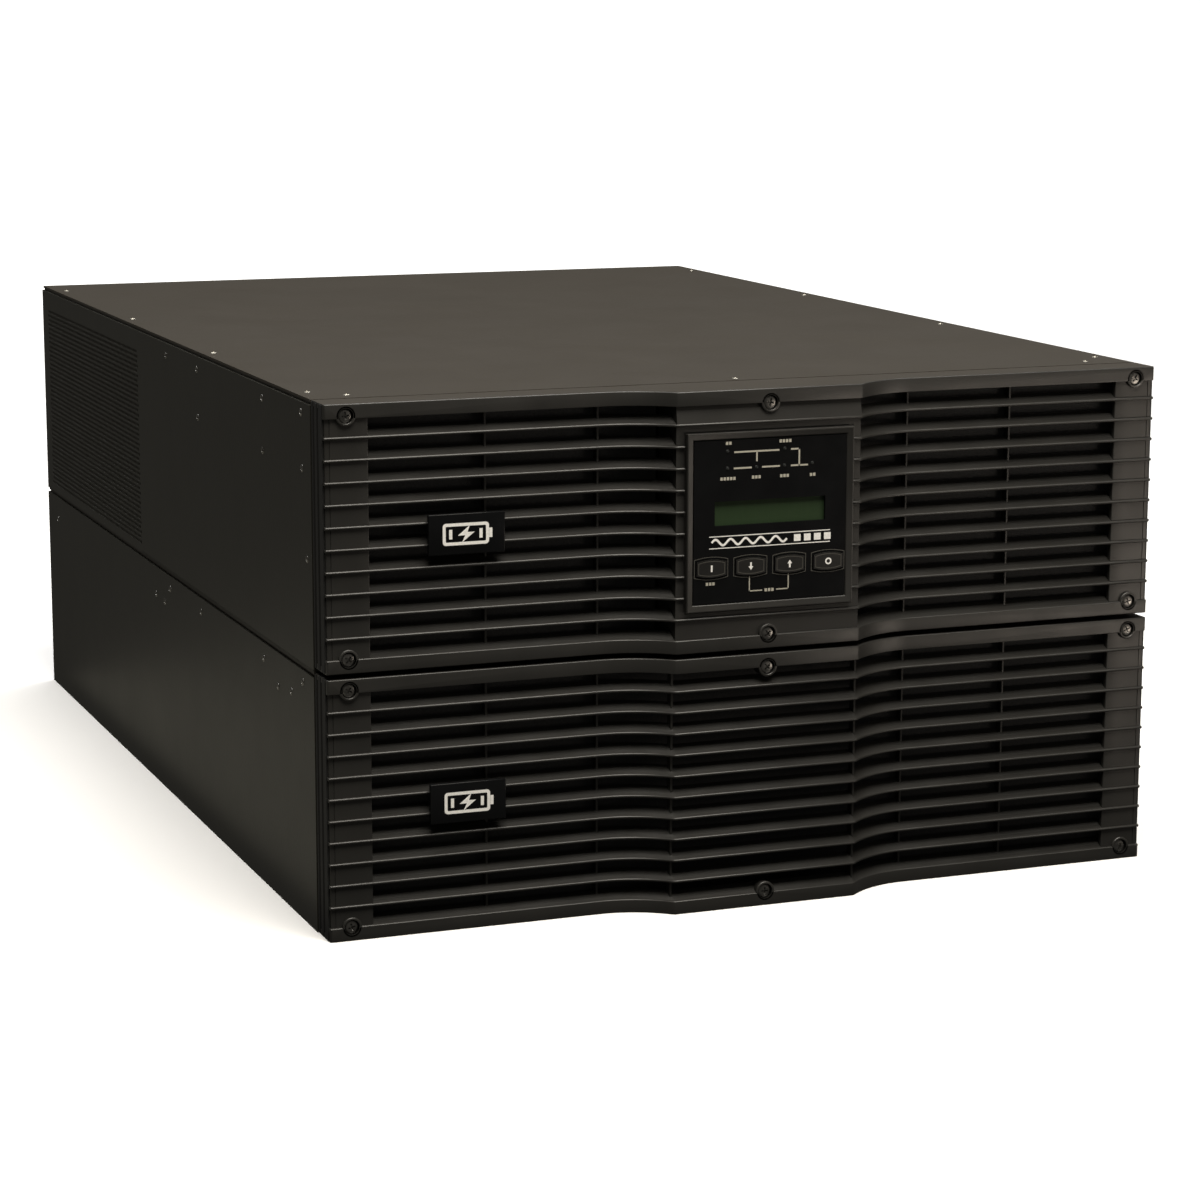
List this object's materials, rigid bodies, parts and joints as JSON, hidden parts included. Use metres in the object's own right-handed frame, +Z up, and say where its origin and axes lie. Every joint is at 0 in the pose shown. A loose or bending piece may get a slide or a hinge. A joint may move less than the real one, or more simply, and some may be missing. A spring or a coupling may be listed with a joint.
{
  "type": "rackmount uninterruptible power supply",
  "caption": "Rackmount power supply with battery backup: a louvred power module with a display and keys, stacked on a louvred battery module.",
  "frame": {"origin": "centre of the stack's bounding box in plan, on the underside that it stands on", "axes": "+X to the right seen from the front, +Y towards the rear (the bezels face -Y), +Z up"},
  "size_m": [0.4444, 0.67, 0.2596],
  "materials": {
    "chassis_paint": "fine-textured black powder coat",
    "cover_paint": "warm dark grey satin paint",
    "bezel_plastic": "satin moulded charcoal plastic",
    "screw_black": "black-plated steel",
    "panel_black": "smooth black with white printing",
    "lcd_green": "unlit green liquid-crystal display",
    "key_plastic": "matt black keypad",
    "board_green": "green circuit board with black capacitors",
    "aluminium": "extruded, clear anodised",
    "copper_winding": "enamelled copper wire",
    "socket_plastic": "black glass-filled nylon",
    "toggle_plastic": "light grey nylon",
    "battery_case": "dark grey moulded battery case",
    "port_shell": "zinc-plated steel shell"
  },
  "bodies": {
    "chassis": {"accessory_slot_cover": "chassis_paint", "battery_breaker": "socket_plastic", "battery_chassis": "chassis_paint", "battery_connector_1": "socket_plastic", "battery_connector_2": "socket_plastic", "battery_rear_panel": "chassis_paint", "battery_top_cover": "cover_paint", "control_board": "board_green", "display_faceplate": "panel_black", "display_frame": "bezel_plastic", "fan_1_frame": "socket_plastic", "fan_2_frame": "socket_plastic", "fan_3_frame": "socket_plastic", "filter_choke": "copper_winding", "input_breaker": "socket_plastic", "inverter_heatsink_left": "aluminium", "inverter_heatsink_right": "aluminium", "lcd_module": "lcd_green", "output_socket_1": "socket_plastic", "output_socket_2": "socket_plastic", "power_badge": "panel_black", "power_battery_connector": "socket_plastic", "power_bezel": "bezel_plastic", "power_bezel_screw_bottom_centre": "screw_black", "power_bezel_screw_bottom_left": "screw_black", "power_bezel_screw_bottom_right": "screw_black", "power_bezel_screw_top_centre": "screw_black", "power_bezel_screw_top_left": "screw_black", "power_bezel_screw_top_right": "screw_black", "power_board": "board_green", "power_chassis": "chassis_paint", "power_rear_panel": "chassis_paint", "power_top_cover": "cover_paint", "serial_port": "port_shell", "terminal_cover": "chassis_paint"},
    "battery_bezel_assembly": {"battery_bezel": "bezel_plastic", "battery_badge": "panel_black", "battery_bezel_screw_bottom_left": "screw_black", "battery_bezel_screw_bottom_centre": "screw_black", "battery_bezel_screw_bottom_right": "screw_black", "battery_bezel_screw_top_left": "screw_black", "battery_bezel_screw_top_centre": "screw_black", "battery_bezel_screw_top_right": "screw_black"},
    "battery_tray_left_assembly": {"battery_tray_left": "chassis_paint", "battery_row_left": "battery_case", "battery_column_left": "battery_case"},
    "battery_tray_right_assembly": {"battery_tray_right": "chassis_paint", "battery_row_right": "battery_case", "battery_column_right": "battery_case"},
    "on_key": {"button_on": "key_plastic"},
    "down_key": {"button_down": "key_plastic"},
    "up_key": {"button_up": "key_plastic"},
    "off_key": {"button_off": "key_plastic"},
    "fan_1": {"fan_1_rotor": "socket_plastic"},
    "fan_2": {"fan_2_rotor": "socket_plastic"},
    "fan_3": {"fan_3_rotor": "socket_plastic"},
    "input_breaker_lever": {"input_breaker_toggle": "toggle_plastic"},
    "battery_breaker_lever": {"battery_breaker_toggle": "toggle_plastic"}
  },
  "joints": [
    {"name": "battery_tray_left_slide", "type": "slide", "parent": "chassis", "child": "battery_tray_left_assembly", "axis": [0, -1, 0], "range_m": [0, 0.44]},
    {"name": "battery_tray_right_slide", "type": "slide", "parent": "chassis", "child": "battery_tray_right_assembly", "axis": [0, -1, 0], "range_m": [0, 0.44]},
    {"name": "battery_bezel_removal", "type": "slide", "parent": "chassis", "child": "battery_bezel_assembly", "axis": [0, -1, 0], "range_m": [0, 0.55]},
    {"name": "on_key_press", "type": "slide", "parent": "chassis", "child": "on_key", "axis": [0, 1, 0], "range_m": [0, 0.0008], "stiffness_N_per_m": 600, "springref_m": -0.0005},
    {"name": "down_key_press", "type": "slide", "parent": "chassis", "child": "down_key", "axis": [0, 1, 0], "range_m": [0, 0.0008], "stiffness_N_per_m": 600, "springref_m": -0.0005},
    {"name": "up_key_press", "type": "slide", "parent": "chassis", "child": "up_key", "axis": [0, 1, 0], "range_m": [0, 0.0008], "stiffness_N_per_m": 600, "springref_m": -0.0005},
    {"name": "off_key_press", "type": "slide", "parent": "chassis", "child": "off_key", "axis": [0, 1, 0], "range_m": [0, 0.0008], "stiffness_N_per_m": 600, "springref_m": -0.0005},
    {"name": "fan_1_spin", "type": "hinge", "parent": "chassis", "child": "fan_1", "pos_m": [0, 0.2959, 0.2141], "axis": [0, 1, 0], "continuous": true},
    {"name": "fan_2_spin", "type": "hinge", "parent": "chassis", "child": "fan_2", "pos_m": [0.086, 0.2959, 0.2141], "axis": [0, 1, 0], "continuous": true},
    {"name": "fan_3_spin", "type": "hinge", "parent": "chassis", "child": "fan_3", "pos_m": [0.172, 0.2959, 0.2141], "axis": [0, 1, 0], "continuous": true},
    {"name": "input_breaker_switch", "type": "hinge", "parent": "chassis", "child": "input_breaker_lever", "pos_m": [0.19, 0.3182, 0.1526], "axis": [1, 0, 0], "range_deg": [-40, 0]},
    {"name": "battery_breaker_switch", "type": "hinge", "parent": "chassis", "child": "battery_breaker_lever", "pos_m": [0.15, 0.3182, 0.064], "axis": [1, 0, 0], "range_deg": [-40, 0]}
  ],
  "couplings": [
    {"joint": "battery_tray_right_slide", "follows": "battery_tray_left_slide", "ratio": 1},
    {"joint": "battery_bezel_removal", "follows": "battery_tray_left_slide", "ratio": 1.25}
  ]
}
